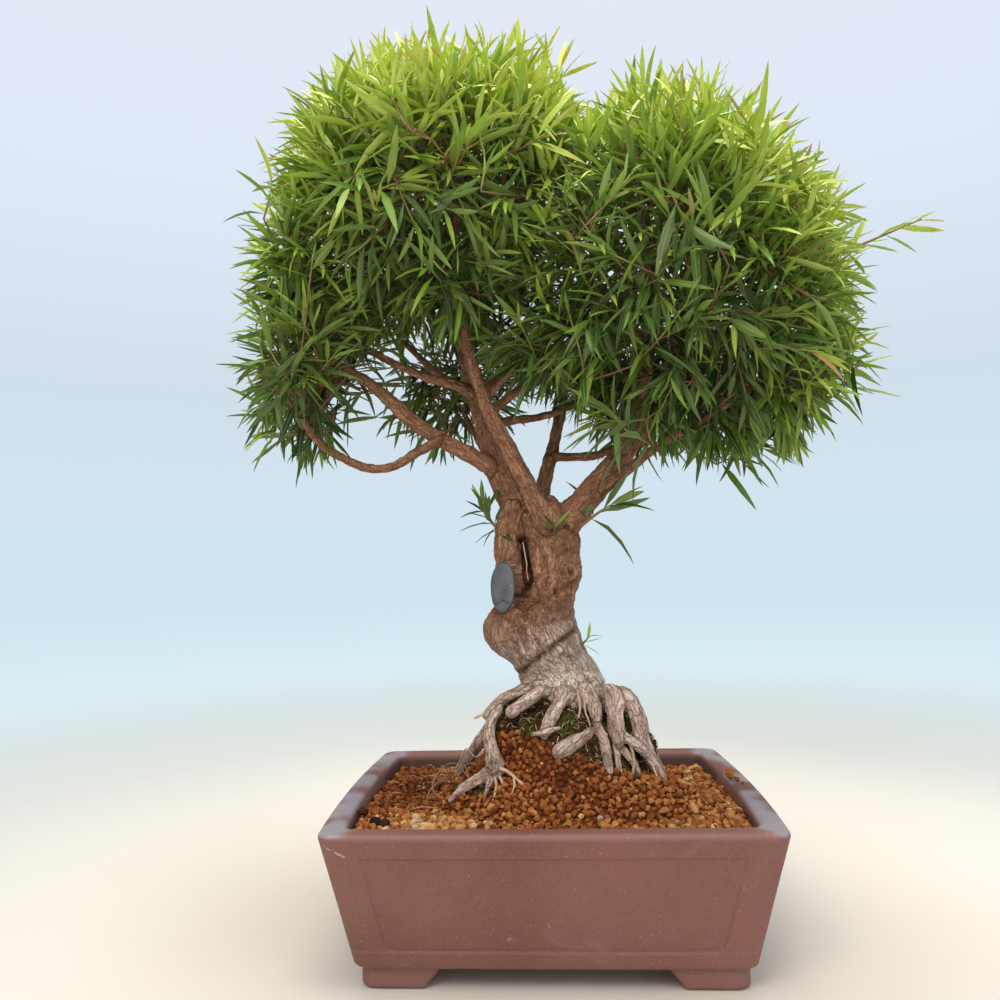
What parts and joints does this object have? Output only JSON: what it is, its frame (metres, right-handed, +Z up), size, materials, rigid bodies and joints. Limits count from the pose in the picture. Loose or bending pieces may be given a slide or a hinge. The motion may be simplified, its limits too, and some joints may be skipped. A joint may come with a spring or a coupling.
{
  "type": "willow leaf fig bonsai",
  "caption": "Willow leaf fig bonsai with a domed leafy crown, a short gnarled trunk and exposed roots, in a rectangular unglazed clay pot.",
  "frame": {"origin": "middle of the whole footprint, crown included, at the level of the undersides of the pot's feet", "axes": "+Z up, +X to the tree's right as seen from its front, and the front faces -Y"},
  "size_m": [0.5754, 0.3196, 0.7207],
  "materials": {
    "unglazed_clay": "matt unglazed mauve-brown clay with pale specks",
    "black_plastic": "plain black mesh",
    "clay_granules": "damp fired clay granules, orange-brown to dark brown, rough",
    "bark": "living bark, warm brown on the limbs and pale grey-beige low on the trunk",
    "wound_paste": "dried slate-grey cut paste, slightly glossy and wrinkled",
    "leaf_green": "leathery leaf, yellow-green when young to deep green, satin",
    "sprout_green": "leathery leaf, deep green, satin"
  },
  "bodies": {
    "root": {"pot": "unglazed_clay", "drain_mesh_left": "black_plastic", "drain_mesh_right": "black_plastic", "soil": "clay_granules", "wood": "bark", "wound_paste": "wound_paste", "spray_01": "leaf_green", "spray_02": "leaf_green", "spray_03": "leaf_green", "spray_04": "leaf_green", "spray_05": "leaf_green", "spray_06": "leaf_green", "spray_07": "leaf_green", "spray_08": "leaf_green", "spray_09": "leaf_green", "spray_10": "leaf_green", "spray_11": "leaf_green", "spray_12": "leaf_green", "spray_13": "leaf_green", "spray_14": "leaf_green", "spray_15": "leaf_green", "spray_16": "leaf_green", "spray_17": "leaf_green", "spray_18": "leaf_green", "spray_19": "leaf_green", "spray_20": "leaf_green", "spray_21": "leaf_green", "spray_22": "leaf_green", "spray_23": "leaf_green", "spray_24": "leaf_green", "spray_25": "leaf_green", "spray_26": "leaf_green", "spray_27": "leaf_green", "spray_28": "leaf_green", "spray_29": "leaf_green", "spray_30": "leaf_green", "spray_31": "leaf_green", "spray_32": "leaf_green", "spray_33": "leaf_green", "spray_34": "leaf_green", "spray_35": "leaf_green", "spray_36": "leaf_green", "spray_37": "leaf_green", "spray_38": "leaf_green", "spray_39": "leaf_green", "spray_40": "leaf_green", "spray_41": "leaf_green", "spray_42": "leaf_green", "spray_43": "leaf_green", "spray_44": "leaf_green", "spray_45": "leaf_green", "spray_46": "leaf_green", "spray_47": "leaf_green", "spray_48": "leaf_green", "spray_49": "leaf_green", "sprig_long": "leaf_green", "sprout_left": "sprout_green", "sprout_right": "sprout_green", "sprout_fork": "sprout_green", "sprout_stem": "sprout_green"}
  },
  "joints": []
}
